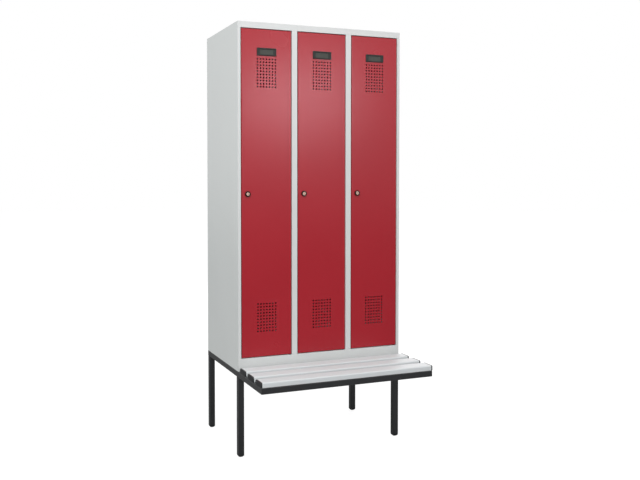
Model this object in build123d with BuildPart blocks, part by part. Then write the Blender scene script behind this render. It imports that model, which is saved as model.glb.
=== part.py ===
from build123d import *

import os

# Steel locker with three doors on a square-tube base that runs forward as a bench.
# Millimetres. +X is to the right as seen from the front, +Y to the back, +Z up.
# The origin is on the floor, in the middle of the whole footprint.

os.makedirs("parts", exist_ok=True)

# Overall sizes
cabinet_width = 900
cabinet_depth = 500
cabinet_height = 1705
base_height = 425
bench_projection = 308
bay_names = ("left", "middle", "right")

# Clearances
overrun = 5
fit = 0.3
running_fit = 0.05
bush_fit = 0.1

# Square-tube base
tube_size = 30
tube_wall = 2
tube_bevel = 1.5
glide_height = 14
glide_rounding = 12
glide_plug_height = 22

# Bench slats, hollow plastic profiles with end caps
slat_names = ("front", "middle", "rear")
slat_width = 70
slat_thickness = 24.5
slat_gap = 35
slat_overhang = 2
slat_rounding = 6.5
slat_wall = 2.5
slat_chambers = 3
end_cap_thickness = 7
end_cap_tab_length = 10

# Cabinet sheet metal
sheet = 1
side_post_width = 15
middle_post_width = 30
header_height = 30
sill_height = 62.5
ledge_depth = 25
ledge_lip = 8
back_lip = 15
rebate_width = 10

# Doors, folded pans that close flush with the posts
door_sheet = 1
door_depth = 20
door_gap = 4
door_hem = 10
vent_columns = 7
vent_rows = 10
vent_pitch_across = 15.7
vent_pitch_up = 15
vent_size = 7
upper_vents_drop = 211
lower_vents_rise = 192.5

# Door stiffener, a hat profile on the inside of the skin
stiffener_inset = 46.5
stiffener_width = 50
stiffener_crown = 26
stiffener_depth = 14
stiffener_end_gap = 6

# Towel rail, a folded strip on the inside of the skin
towel_rail_length = 140
towel_rail_shift = 25
towel_rail_depth = 45
towel_rail_strip = 12
towel_rail_thickness = 2
towel_rail_foot = 12
towel_rail_rise = 1008.5

# Hinge pins and their bushes
pivot_inset = 8
pivot_depth = 6
pin_radius = 3
pin_reach = 7
pin_shank_size = 5
pin_plate_width = 16
pin_plate_depth = 16
pin_plate_thickness = 3
bush_body = 9
bush_flange = 11
bush_length = 6

# Rubber buffers on the rebate
buffer_thickness = 2
buffer_width = 8
buffer_height = 14
buffer_inset = 150

# Cam locks
lock_inset = 31
lock_rise = 802
rosette_radius = 14
rosette_thickness = 6
lock_body_size = 18
plug_radius = 8
plug_proud = 0.5
keyway_width = 2.2
keyway_height = 9
keyway_depth = 6
lock_clip_size = 26
lock_clip_thickness = 3
cam_gap = 0.5
cam_play = 1
cam_thickness = 2.5
cam_width = 14
cam_reach = 38
cam_heel = 8
cam_chamfer = 3
tail_size = 8

# Label holders
label_width = 102
label_height = 38.5
label_thickness = 4
label_chamfer = 1.5
label_window_width = 73
label_window_height = 25.5
label_pocket_border = 5
label_pocket_depth = 1.2
card_thickness = 0.8
label_drop = 108.5

# Inside of the compartments
hat_space_height = 320
shelf_setback = 12
shelf_flange = 35
clothes_rail_width = 10
clothes_rail_height = 20
clothes_rail_wall = 1.5
clothes_rail_drop = 22
hook_drop = 150
hook_width = 16
hook_thickness = 2
hook_plate_height = 50
hook_reach = 30
hook_tip_height = 16

# Places that follow from the sizes
total_depth = cabinet_depth + bench_projection
back_y = total_depth / 2
bench_front_y = -total_depth / 2
cabinet_front_y = back_y - cabinet_depth
half_width = cabinet_width / 2
inner_half_width = half_width - sheet
cabinet_top_z = base_height + cabinet_height
rail_bottom_z = base_height - tube_size
roof_underside_z = cabinet_top_z - sheet
back_panel_y = back_y - 2 * sheet

opening_bottom_z = base_height + sill_height
opening_top_z = cabinet_top_z - header_height
opening_height = opening_top_z - opening_bottom_z
post_depth = door_depth + buffer_thickness + sheet
post_back_y = cabinet_front_y + post_depth
rebate_front_y = post_back_y - sheet
ledge_back_y = cabinet_front_y + ledge_depth

bay_count = len(bay_names)
opening_width = (
    cabinet_width - 2 * side_post_width - (bay_count - 1) * middle_post_width
) / bay_count
bay_pitch = opening_width + middle_post_width
bay_centres = [(i - (bay_count - 1) / 2) * bay_pitch for i in range(bay_count)]
post_centres = [(i - (bay_count - 2) / 2) * bay_pitch for i in range(bay_count - 1)]
wall_faces = [(-inner_half_width, post_centres[0] - sheet / 2)]
for left_post, right_post in zip(post_centres[:-1], post_centres[1:]):
    wall_faces.append((left_post + sheet / 2, right_post - sheet / 2))
wall_faces.append((post_centres[-1] + sheet / 2, inner_half_width))

door_width = opening_width - 2 * door_gap
door_bottom_z = opening_bottom_z + door_gap
door_top_z = opening_top_z - door_gap
door_back_y = cabinet_front_y + door_depth
skin_back_y = cabinet_front_y + door_sheet
pivot_shift = door_width / 2 - pivot_inset
pivot_y = cabinet_front_y + pivot_depth
lock_shift = door_width / 2 - lock_inset
lock_z = door_bottom_z + lock_rise

shelf_z = roof_underside_z - hat_space_height
shelf_front_y = post_back_y + shelf_setback
shelf_back_y = back_panel_y - sheet - fit
compartment_middle_y = (shelf_front_y + shelf_back_y) / 2
hook_top_z = shelf_z - hook_drop


def finish(part, name):
    """Label a finished piece and write it to its own file."""
    part.label = name
    export_step(part, f"parts/{name}.step")


def span(x0, x1, y0, y1, mode=Mode.ADD):
    """Add to the sketch in hand the rectangle between two corners, given in any order."""
    with Locations(((x0 + x1) / 2, (y0 + y1) / 2)):
        Rectangle(abs(x1 - x0), abs(y1 - y0), mode=mode)


def front_plane(y, x=0, z=0):
    """Upright plane that faces the front: local x runs right, local y runs up."""
    return Plane(origin=(x, y, z), x_dir=(1, 0, 0), z_dir=(0, -1, 0))


def cross_plane(x, y=0, z=0):
    """Upright plane that faces the right side: local x runs back, local y runs up."""
    return Plane(origin=(x, y, z), x_dir=(0, 1, 0), z_dir=(1, 0, 0))


def level_plane(z, x=0, y=0):
    """Level plane that faces up: local x runs right, local y runs back."""
    return Plane(origin=(x, y, z), x_dir=(1, 0, 0), z_dir=(0, 0, 1))


# Base frame


def bevelled_square():
    """Add to the sketch in hand the outer section of the square tube."""
    with BuildSketch(Plane.XY, mode=Mode.PRIVATE) as section:
        Rectangle(tube_size, tube_size)
        chamfer(section.vertices(), length=tube_bevel)
    add(section.sketch)


def tube(name, start, length, mitres=()):
    """Straight hollow tube from a start plane, cut at each mitre plane, which faces the kept side."""
    bore = tube_size - 2 * tube_wall
    with BuildPart() as member:
        with BuildSketch(start):
            bevelled_square()
            Rectangle(bore, bore, mode=Mode.SUBTRACT)
        extrude(amount=length)
        for mitre in mitres:
            split(bisect_by=mitre, keep=Keep.TOP)
    finish(member.part, name)


def mitre(side, end, along_side):
    """Upright 45 degree plane through a corner of the base, facing the side rail or the cross tube."""
    corner = (side * half_width, end * back_y, base_height)
    towards = (side, -end, 0) if along_side else (-side, end, 0)
    return Plane(origin=corner, z_dir=towards)


rail_z = base_height - tube_size / 2
rail_x = half_width - tube_size / 2
leg_front_y = cabinet_front_y + tube_size / 2
leg_back_y = back_y - tube_size / 2
bearer_length = bench_projection - tube_size

for name, side in (("left_side_rail", -1), ("right_side_rail", 1)):
    start = front_plane(back_y, side * rail_x, rail_z)
    tube(name, start, total_depth, [mitre(side, -1, True), mitre(side, 1, True)])

for name, end in (("bench_front_tube", -1), ("rear_cross_tube", 1)):
    start = cross_plane(-half_width, end * leg_back_y, rail_z)
    tube(name, start, cabinet_width, [mitre(-1, end, False), mitre(1, end, False)])

inner_rail_x = half_width - tube_size
tube("front_cross_tube", cross_plane(-inner_rail_x, leg_front_y, rail_z), 2 * inner_rail_x)
tube("bench_middle_bearer", front_plane(cabinet_front_y, 0, rail_z), bearer_length)

leg_places = {
    "front_left_leg": (-rail_x, leg_front_y),
    "front_right_leg": (rail_x, leg_front_y),
    "rear_left_leg": (-rail_x, leg_back_y),
    "rear_right_leg": (rail_x, leg_back_y),
}
for name, (x, y) in leg_places.items():
    tube(name, level_plane(glide_height, x, y), rail_bottom_z - glide_height)

# Foot glides: a cap that rounds off towards the floor, and a plug inside the leg

with BuildPart() as glide:
    with BuildSketch(Plane.XY):
        bevelled_square()
    extrude(amount=glide_height)
    for side_view in (Plane.XZ, Plane.YZ):
        with BuildSketch(side_view) as outline:
            span(-tube_size / 2, tube_size / 2, 0, glide_height)
            fillet(outline.vertices().group_by(Axis.Y)[0], radius=glide_rounding)
        extrude(amount=tube_size, both=True, mode=Mode.INTERSECT)
    with BuildSketch(level_plane(glide_height)):
        plug_size = tube_size - 2 * tube_wall - 2 * fit
        Rectangle(plug_size, plug_size)
    extrude(amount=glide_plug_height)

with BuildPart() as foot_glides:
    with Locations(*[(x, y, 0) for x, y in leg_places.values()]):
        add(glide.part)
finish(foot_glides.part, "foot_glides")

# Bench slats and their end caps

slat_length = cabinet_width + 2 * slat_overhang
slat_body_length = slat_length - 2 * end_cap_thickness
slat_z = base_height + slat_thickness / 2
slat_pitch = slat_width + slat_gap
chamber_width = (slat_width - (slat_chambers + 1) * slat_wall) / slat_chambers
chamber_height = slat_thickness - 2 * slat_wall
chamber_pitch = chamber_width + slat_wall
slat_centres = [
    bench_front_y + slat_width / 2 + i * slat_pitch for i in range(len(slat_names))
]


def slat_outline(y):
    """Outer section of a slat at its place, with both upper edges rounded."""
    with BuildSketch(Plane.XY, mode=Mode.PRIVATE) as outline:
        Rectangle(slat_width, slat_thickness)
        fillet(outline.vertices().group_by(Axis.Y)[-1], radius=slat_rounding)
    with Locations((y, slat_z)):
        add(outline.sketch)


def slat_chamber_places(y):
    """Middles of the chambers inside a slat."""
    return [
        (y + (i - (slat_chambers - 1) / 2) * chamber_pitch, slat_z)
        for i in range(slat_chambers)
    ]


for name, y in zip(slat_names, slat_centres):
    with BuildPart() as slat:
        with BuildSketch(cross_plane(-slat_body_length / 2)):
            slat_outline(y)
            with Locations(*slat_chamber_places(y)):
                Rectangle(chamber_width, chamber_height, mode=Mode.SUBTRACT)
        extrude(amount=slat_body_length)
    finish(slat.part, f"{name}_slat")

with BuildPart() as slat_end_caps:
    for side in (-1, 1):
        seat = cross_plane(side * slat_body_length / 2)
        for y in slat_centres:
            with BuildSketch(seat):
                slat_outline(y)
            extrude(amount=side * end_cap_thickness)
            with BuildSketch(seat):
                with Locations(*slat_chamber_places(y)):
                    Rectangle(chamber_width - 2 * fit, chamber_height - 2 * fit)
            extrude(amount=-side * end_cap_tab_length)
finish(slat_end_caps.part, "slat_end_caps")

# Cabinet walls: folded sheet with box-shaped front posts


def side_panel(name, side, has_rebate):
    """Outer wall with its front post, its rear lip and the lip that stands on the side rail."""
    outer_x = side * half_width
    post_edge_x = side * (half_width - side_post_width)
    lip_front_y = cabinet_front_y + tube_size + fit
    lip_back_y = back_panel_y - tube_size - fit
    with BuildPart() as panel:
        with BuildSketch(level_plane(base_height)):
            span(outer_x, side * inner_half_width, cabinet_front_y, back_y)
            span(outer_x, outer_x - side * back_lip, back_y - sheet, back_y)
        extrude(amount=cabinet_height)
        with BuildSketch(level_plane(base_height)):
            span(outer_x, post_edge_x, cabinet_front_y, cabinet_front_y + sheet)
            span(post_edge_x, post_edge_x + side * sheet, cabinet_front_y, post_back_y)
            span(outer_x, post_edge_x, rebate_front_y, post_back_y)
        extrude(amount=roof_underside_z - base_height)
        with BuildSketch(level_plane(base_height)):
            span(outer_x, outer_x - side * tube_size, lip_front_y, lip_back_y)
        extrude(amount=sheet)
        if has_rebate:
            with BuildSketch(level_plane(opening_bottom_z)):
                edge_x = post_edge_x - side * rebate_width
                span(post_edge_x, edge_x, rebate_front_y, post_back_y)
            extrude(amount=opening_height)
    finish(panel.part, name)


side_panel("left_side_panel", -1, has_rebate=True)
side_panel("right_side_panel", 1, has_rebate=False)


def partition(name, centre):
    """Wall between two compartments: box post, rebate for the right-hand door, plate and rear lip."""
    left_x = centre - middle_post_width / 2
    right_x = centre + middle_post_width / 2
    plate_left_x = centre - sheet / 2
    with BuildPart() as wall:
        with BuildSketch(level_plane(opening_bottom_z)):
            span(left_x, right_x, cabinet_front_y, cabinet_front_y + sheet)
            span(left_x, left_x + sheet, cabinet_front_y, post_back_y)
            span(right_x - sheet, right_x, cabinet_front_y, post_back_y)
            span(left_x, right_x + rebate_width, rebate_front_y, post_back_y)
        extrude(amount=opening_height)
        with BuildSketch(level_plane(opening_bottom_z)):
            span(plate_left_x, plate_left_x + sheet, post_back_y, back_panel_y)
            span(plate_left_x, centre + back_lip, back_panel_y - sheet, back_panel_y)
        extrude(amount=roof_underside_z - opening_bottom_z)
        # The plate is cut back above the post, where the header's ledge passes
        with BuildSketch(cross_plane(centre - overrun)):
            notch_back_y = ledge_back_y + fit
            span(post_back_y, notch_back_y, opening_top_z, cabinet_top_z)
        extrude(amount=2 * overrun, mode=Mode.SUBTRACT)
    finish(wall.part, name)


for name, centre in zip(("left_partition", "right_partition"), post_centres):
    partition(name, centre)

with BuildPart() as back_panel:
    with BuildSketch(front_plane(back_panel_y)):
        span(-inner_half_width, inner_half_width, base_height, roof_underside_z)
    extrude(amount=-sheet)
finish(back_panel.part, "back_panel")


def cut_post_corners():
    """Cut the front corners of the panel in hand away under the roof, where the side posts stand."""
    post_edge_x = half_width - side_post_width
    with BuildSketch(level_plane(base_height)) as corners:
        for side in (-1, 1):
            span(side * post_edge_x, side * half_width, cabinet_front_y, post_back_y)
    extrude(corners.sketch, amount=roof_underside_z - base_height, mode=Mode.SUBTRACT)


def cut_bush_holes(z):
    """Cut a square hole for each hinge bush through the ledge at this height."""
    with BuildSketch(level_plane(z - overrun)) as holes:
        with Locations(*[(centre + pivot_shift, pivot_y) for centre in bay_centres]):
            Rectangle(bush_body + 2 * bush_fit, bush_body + 2 * bush_fit)
    extrude(holes.sketch, amount=2 * overrun, mode=Mode.SUBTRACT)


with BuildPart() as top_panel:
    with BuildSketch(cross_plane(-inner_half_width)):
        span(cabinet_front_y, back_y - sheet, roof_underside_z, cabinet_top_z)
        span(cabinet_front_y, cabinet_front_y + sheet, opening_top_z, cabinet_top_z)
        span(cabinet_front_y, ledge_back_y, opening_top_z, opening_top_z + sheet)
        span(ledge_back_y - sheet, ledge_back_y, opening_top_z, opening_top_z + ledge_lip)
    extrude(amount=2 * inner_half_width)
    cut_post_corners()
    cut_bush_holes(opening_top_z)
finish(top_panel.part, "top_panel")

with BuildPart() as bottom_panel:
    with BuildSketch(cross_plane(-inner_half_width)):
        span(cabinet_front_y, back_panel_y, opening_bottom_z - sheet, opening_bottom_z)
        for wall_y, inwards in ((cabinet_front_y, 1), (back_panel_y, -1)):
            span(wall_y, wall_y + inwards * sheet, base_height, opening_bottom_z)
            span(wall_y, wall_y + inwards * tube_size, base_height, base_height + sheet)
    extrude(amount=2 * inner_half_width)
    cut_post_corners()
    cut_bush_holes(opening_bottom_z)
finish(bottom_panel.part, "bottom_panel")

# Hat shelves, clothes rails and coat hooks

clothes_rail_z = shelf_z - clothes_rail_drop
rail_bore_width = clothes_rail_width - 2 * clothes_rail_wall
rail_bore_height = clothes_rail_height - 2 * clothes_rail_wall

for bay, (left_x, right_x) in zip(bay_names, wall_faces):
    shelf_left_x = left_x + fit
    shelf_right_x = right_x - fit
    with BuildPart() as shelf:
        with BuildSketch(level_plane(shelf_z)):
            span(shelf_left_x, shelf_right_x, shelf_front_y, shelf_back_y)
        extrude(amount=-shelf_flange)
        offset(amount=-sheet, openings=shelf.faces().sort_by(Axis.Z)[0])
        with BuildSketch(cross_plane(left_x)):
            with Locations((compartment_middle_y, clothes_rail_z)):
                Rectangle(clothes_rail_width + 2 * fit, clothes_rail_height + 2 * fit)
        extrude(amount=right_x - left_x, mode=Mode.SUBTRACT)
    finish(shelf.part, f"{bay}_hat_shelf")

    with BuildPart() as clothes_rail:
        with BuildSketch(cross_plane(shelf_left_x)):
            with Locations((compartment_middle_y, clothes_rail_z)):
                Rectangle(clothes_rail_width, clothes_rail_height)
                Rectangle(rail_bore_width, rail_bore_height, mode=Mode.SUBTRACT)
        extrude(amount=shelf_right_x - shelf_left_x)
    finish(clothes_rail.part, f"{bay}_clothes_rail")

# Each hook plane lies on a wall: its local x points out of the wall and its local y up
hook_planes = []
for centre, (left_x, right_x) in zip(bay_centres, wall_faces):
    left_wall = (left_x, compartment_middle_y, hook_top_z)
    right_wall = (right_x, compartment_middle_y, hook_top_z)
    rear_wall = (centre, back_panel_y, hook_top_z)
    hook_planes.append(Plane(origin=left_wall, x_dir=(1, 0, 0), z_dir=(0, -1, 0)))
    hook_planes.append(Plane(origin=right_wall, x_dir=(-1, 0, 0), z_dir=(0, 1, 0)))
    hook_planes.append(Plane(origin=rear_wall, x_dir=(0, -1, 0), z_dir=(-1, 0, 0)))

with BuildPart() as coat_hooks:
    for plane in hook_planes:
        with BuildSketch(plane):
            floor = -hook_plate_height
            span(0, hook_thickness, floor, 0)
            span(0, hook_reach, floor, floor + hook_thickness)
            span(hook_reach - hook_thickness, hook_reach, floor, floor + hook_tip_height)
        extrude(amount=hook_width / 2, both=True)
finish(coat_hooks.part, "coat_hooks")

# Hinge bushes and door buffers, fixed to the cabinet

bush_flange_thickness = door_gap - fit

with BuildPart() as hinge_bushes:
    for centre in bay_centres:
        for z, inwards in ((opening_top_z, -1), (opening_bottom_z, 1)):
            foot = level_plane(z, centre + pivot_shift, pivot_y)
            with BuildSketch(foot):
                Rectangle(bush_flange, bush_flange)
            extrude(amount=inwards * bush_flange_thickness)
            with BuildSketch(foot):
                Rectangle(bush_body, bush_body)
            extrude(amount=-inwards * bush_length)
            with BuildSketch(foot):
                Circle(pin_radius + running_fit)
            extrude(amount=bush_body, both=True, mode=Mode.SUBTRACT)
finish(hinge_bushes.part, "hinge_bushes")

with BuildPart() as door_buffers:
    with BuildSketch(front_plane(rebate_front_y)):
        for centre in bay_centres:
            buffer_x = centre - opening_width / 2 + rebate_width / 2
            for z in (opening_bottom_z + buffer_inset, opening_top_z - buffer_inset):
                with Locations((buffer_x, z)):
                    Rectangle(buffer_width, buffer_height)
    extrude(amount=buffer_thickness - fit)
finish(door_buffers.part, "door_buffers")

# Doors with everything that swings with them

upper_vents_z = door_top_z - upper_vents_drop
lower_vents_z = door_bottom_z + lower_vents_rise
label_z = door_top_z - label_drop
rosette_front_y = cabinet_front_y - rosette_thickness
cam_front_y = post_back_y + cam_gap
lock_body_back_y = cam_front_y - cam_play


def door_pan(name, centre):
    """Folded door: skin, four returns, hems, two fields of vents, lock hole and pin holes."""
    left_x = centre - door_width / 2
    right_x = centre + door_width / 2
    with BuildPart() as door:
        with BuildSketch(front_plane(cabinet_front_y)):
            span(left_x, right_x, door_bottom_z, door_top_z)
        extrude(amount=-door_depth)
        offset(amount=-door_sheet, openings=door.faces().sort_by(Axis.Y)[-1])
        with BuildSketch(front_plane(door_back_y)):
            span(left_x, right_x, door_bottom_z, door_top_z)
            hem_bottom_z = door_bottom_z + door_hem
            hem_top_z = door_top_z - door_hem
            span(left_x + door_hem, right_x - door_hem, hem_bottom_z, hem_top_z, Mode.SUBTRACT)
        extrude(amount=door_sheet)
        with BuildSketch(front_plane(skin_back_y)):
            for vents_z in (upper_vents_z, lower_vents_z):
                with Locations((centre, vents_z)):
                    with GridLocations(vent_pitch_across, vent_pitch_up, vent_columns, vent_rows):
                        Rectangle(vent_size, vent_size)
            with Locations((centre - lock_shift, lock_z)):
                Rectangle(lock_body_size + 2 * fit, lock_body_size + 2 * fit)
        extrude(amount=overrun, both=True, mode=Mode.SUBTRACT)
        with BuildSketch(level_plane(door_bottom_z)):
            with Locations((centre + pivot_shift, pivot_y)):
                Rectangle(pin_shank_size + 2 * bush_fit, pin_shank_size + 2 * bush_fit)
        extrude(amount=door_top_z - door_bottom_z, mode=Mode.SUBTRACT)
    finish(door.part, name)


def stiffener(name, centre):
    """Hat profile that stands upright on the inside of the skin, beside the hinge."""
    middle_x = centre + door_width / 2 - stiffener_inset
    crown_back_y = skin_back_y + stiffener_depth
    bottom_z = door_bottom_z + door_sheet + stiffener_end_gap
    top_z = door_top_z - door_sheet - stiffener_end_gap
    with BuildPart() as profile:
        with BuildSketch(level_plane(bottom_z)):
            for side in (-1, 1):
                web_x = middle_x + side * stiffener_crown / 2
                lip_x = middle_x + side * stiffener_width / 2
                span(web_x, lip_x, skin_back_y, skin_back_y + sheet)
                span(web_x, web_x - side * sheet, skin_back_y, crown_back_y)
            crown_left_x = middle_x - stiffener_crown / 2
            crown_right_x = middle_x + stiffener_crown / 2
            span(crown_left_x, crown_right_x, crown_back_y - sheet, crown_back_y)
        extrude(amount=top_z - bottom_z)
    finish(profile.part, name)


def towel_rail(name, centre):
    """Flat strip folded into a wide U, with two feet on the inside of the skin."""
    middle_x = centre - towel_rail_shift
    bar_back_y = skin_back_y + towel_rail_depth
    with BuildPart() as rail:
        with BuildSketch(level_plane(door_bottom_z + towel_rail_rise)):
            for side in (-1, 1):
                arm_x = middle_x + side * towel_rail_length / 2
                foot_x = arm_x + side * towel_rail_foot
                span(arm_x, foot_x, skin_back_y, skin_back_y + towel_rail_thickness)
                span(arm_x, arm_x - side * towel_rail_thickness, skin_back_y, bar_back_y)
            bar_left_x = middle_x - towel_rail_length / 2
            bar_right_x = middle_x + towel_rail_length / 2
            span(bar_left_x, bar_right_x, bar_back_y - towel_rail_thickness, bar_back_y)
        extrude(amount=towel_rail_strip)
    finish(rail.part, name)


def hinge_pins(name, centre):
    """Upper and lower pin: a plate inside the door's corner, a square shank and a round end."""
    plate_right_x = centre + door_width / 2 - door_sheet
    plate_left_x = plate_right_x - pin_plate_width
    plate_back_y = skin_back_y + pin_plate_depth
    pin_x = centre + pivot_shift
    with BuildPart() as pins:
        for edge_z, outwards in ((door_top_z, 1), (door_bottom_z, -1)):
            inside_z = edge_z - outwards * door_sheet
            with BuildSketch(level_plane(inside_z)):
                span(plate_left_x, plate_right_x, skin_back_y, plate_back_y)
            extrude(amount=-outwards * pin_plate_thickness)
            with BuildSketch(level_plane(inside_z, pin_x, pivot_y)):
                Rectangle(pin_shank_size, pin_shank_size)
            extrude(amount=outwards * door_sheet)
            with BuildSketch(level_plane(edge_z, pin_x, pivot_y)):
                Circle(pin_radius)
            extrude(amount=outwards * (door_gap + pin_reach))
    finish(pins.part, name)


def label_holder(bay, centre):
    """Bevelled frame with a window, and the card in the pocket behind it."""
    middle = (centre, label_z)
    pocket_width = label_window_width + 2 * label_pocket_border
    pocket_height = label_window_height + 2 * label_pocket_border
    with BuildPart() as frame:
        with BuildSketch(front_plane(cabinet_front_y)):
            with Locations(middle):
                Rectangle(label_width, label_height)
        extrude(amount=label_thickness)
        chamfer(frame.faces().sort_by(Axis.Y)[0].edges(), length=label_chamfer)
        with BuildSketch(front_plane(cabinet_front_y)):
            with Locations(middle):
                Rectangle(label_window_width, label_window_height)
        extrude(amount=label_thickness, mode=Mode.SUBTRACT)
        with BuildSketch(front_plane(cabinet_front_y)):
            with Locations(middle):
                Rectangle(pocket_width, pocket_height)
        extrude(amount=label_pocket_depth, mode=Mode.SUBTRACT)
    finish(frame.part, f"{bay}_label_frame")

    with BuildPart() as card:
        with BuildSketch(front_plane(cabinet_front_y)):
            with Locations(middle):
                Rectangle(pocket_width - 2 * fit, pocket_height - 2 * fit)
        extrude(amount=card_thickness)
    finish(card.part, f"{bay}_label_card")


def disc(centre, y, radius, depth, mode=Mode.ADD):
    """Round boss or bore on the lock's axis, from y towards the back by depth."""
    with BuildSketch(front_plane(y)) as circle:
        with Locations((centre - lock_shift, lock_z)):
            Circle(radius)
    extrude(circle.sketch, amount=-depth, mode=mode)


def cam_lock(bay, centre):
    """Housing with its clip, the plug that turns in it, and the cam on the plug's square tail."""
    lock_x = centre - lock_shift
    bore_radius = plug_radius + running_fit
    clip_hole = lock_body_size + 2 * bush_fit
    with BuildPart() as housing:
        disc(centre, rosette_front_y, rosette_radius, rosette_thickness)
        with BuildSketch(front_plane(cabinet_front_y, lock_x, lock_z)):
            Rectangle(lock_body_size, lock_body_size)
        extrude(amount=cabinet_front_y - lock_body_back_y)
        disc(centre, rosette_front_y, bore_radius, lock_body_back_y - rosette_front_y, Mode.SUBTRACT)
        with BuildSketch(front_plane(skin_back_y, lock_x, lock_z)):
            Rectangle(lock_clip_size, lock_clip_size)
            Rectangle(clip_hole, clip_hole, mode=Mode.SUBTRACT)
        extrude(amount=-lock_clip_thickness)
    finish(housing.part, f"{bay}_lock_housing")

    plug_front_y = rosette_front_y - plug_proud
    tail_length = cam_thickness + plug_proud
    with BuildPart() as plug:
        disc(centre, plug_front_y, plug_radius, cam_front_y - plug_front_y)
        with BuildSketch(front_plane(cam_front_y, lock_x, lock_z)):
            Rectangle(tail_size, tail_size)
        extrude(amount=-tail_length)
        with BuildSketch(front_plane(plug_front_y, lock_x, lock_z)):
            Rectangle(keyway_width, keyway_height)
        extrude(amount=-keyway_depth, mode=Mode.SUBTRACT)
    finish(plug.part, f"{bay}_lock_plug")

    tail_hole = tail_size + 2 * bush_fit
    with BuildPart() as cam:
        with BuildSketch(front_plane(cam_front_y)) as outline:
            half_cam = cam_width / 2
            span(lock_x - half_cam, lock_x + half_cam, lock_z - cam_reach, lock_z + cam_heel)
            chamfer(outline.vertices(), length=cam_chamfer)
            with Locations((lock_x, lock_z)):
                Rectangle(tail_hole, tail_hole, mode=Mode.SUBTRACT)
        extrude(amount=-cam_thickness)
    finish(cam.part, f"{bay}_lock_cam")


for bay, centre in zip(bay_names, bay_centres):
    door_pan(f"{bay}_door", centre)
    stiffener(f"{bay}_door_stiffener", centre)
    towel_rail(f"{bay}_towel_rail", centre)
    hinge_pins(f"{bay}_hinge_pins", centre)
    label_holder(bay, centre)
    cam_lock(bay, centre)
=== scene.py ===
"""Looks of a steel locker with three red doors on a square-tube base that runs forward as a bench.

Everything is in metres in the part's own frame: +X right as seen from the front, +Y to the back,
+Z up.
"""

import logging
import math
from dataclasses import dataclass
from enum import Enum
from functools import reduce
from operator import add

import bmesh
import bpy
import numpy as np
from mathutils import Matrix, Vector


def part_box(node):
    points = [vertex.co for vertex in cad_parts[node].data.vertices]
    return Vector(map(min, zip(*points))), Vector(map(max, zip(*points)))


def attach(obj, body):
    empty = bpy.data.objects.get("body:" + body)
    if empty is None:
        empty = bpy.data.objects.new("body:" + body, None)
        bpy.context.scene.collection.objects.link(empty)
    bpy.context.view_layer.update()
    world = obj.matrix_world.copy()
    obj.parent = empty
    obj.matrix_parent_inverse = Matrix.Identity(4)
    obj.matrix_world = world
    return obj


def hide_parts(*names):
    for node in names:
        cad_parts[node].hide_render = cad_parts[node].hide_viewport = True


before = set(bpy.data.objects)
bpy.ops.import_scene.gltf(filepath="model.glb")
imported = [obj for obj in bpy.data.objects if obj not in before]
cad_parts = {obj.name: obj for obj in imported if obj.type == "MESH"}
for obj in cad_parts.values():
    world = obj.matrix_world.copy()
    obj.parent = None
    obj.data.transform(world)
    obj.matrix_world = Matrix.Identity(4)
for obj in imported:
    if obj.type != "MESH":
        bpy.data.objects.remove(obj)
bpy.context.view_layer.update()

log = logging.getLogger("locker")
MM = 0.001
BAYS = ("left", "middle", "right")

# A rectangle's corners in the order that outlines pass them, anticlockwise
CORNERS = ((1, 1), (-1, 1), (-1, -1), (1, -1))

Pair = tuple[float, float]
Triple = tuple[float, float, float]


def srgb(red: float, green: float, blue: float) -> Triple:
    """Linear colour of a screen colour.

    A share of 255 is divided by 12.92 up to 0.04045, and follows the 2.4 power curve above it.

    Args:
        red: the red value, from 0 to 255.
        green: the green value.
        blue: the blue value.

    Returns:
        The linear colour.
    """
    shares = np.array([red, green, blue]) / 255
    linear = np.where(shares <= 0.04045, shares / 12.92, ((shares + 0.055) / 1.055) ** 2.4)
    return tuple(float(value) for value in linear)


def toned(colour: Triple, factor: float, lift: float = 0.0) -> Triple:
    """The colour times a factor plus a lift, held at 1."""
    return tuple(min(1.0, value * factor + lift) for value in colour)


# Shader nodes


class Wire:
    """A socket in a material's nodes, whose arithmetic adds Math nodes."""

    def __init__(self, shade: "Shade", socket: bpy.types.NodeSocket) -> None:
        """Keep the material's nodes and the socket that the value comes from."""
        self.shade = shade
        self.socket = socket

    def math(self, operation: str, first: "Wire | float", second: "Wire | float") -> "Wire":
        """A Math node's result for an operation on two values."""
        return self.shade.node("Math", {"operation": operation}, {0: first, 1: second})

    def __add__(self, other: "Wire | float") -> "Wire":
        """Sum with a value or a wire."""
        return self.math("ADD", self, other)

    def __radd__(self, other: float) -> "Wire":
        """Sum with a value on the left."""
        return self.math("ADD", other, self)

    def __sub__(self, other: "Wire | float") -> "Wire":
        """Difference from a value or a wire."""
        return self.math("SUBTRACT", self, other)

    def __rsub__(self, other: float) -> "Wire":
        """Difference of a value on the left."""
        return self.math("SUBTRACT", other, self)

    def __mul__(self, other: "Wire | float") -> "Wire":
        """Product with a value or a wire."""
        return self.math("MULTIPLY", self, other)

    def __rmul__(self, other: float) -> "Wire":
        """Product with a value on the left."""
        return self.math("MULTIPLY", other, self)

    def held(self, low: float, high: float) -> "Wire":
        """The value brought from a low and a high mark to the range 0 to 1, and held there."""
        sockets = {0: self, 1: low, 2: high, 3: 0.0, 4: 1.0}
        return self.shade.node("MapRange", {"clamp": True}, sockets)


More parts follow.
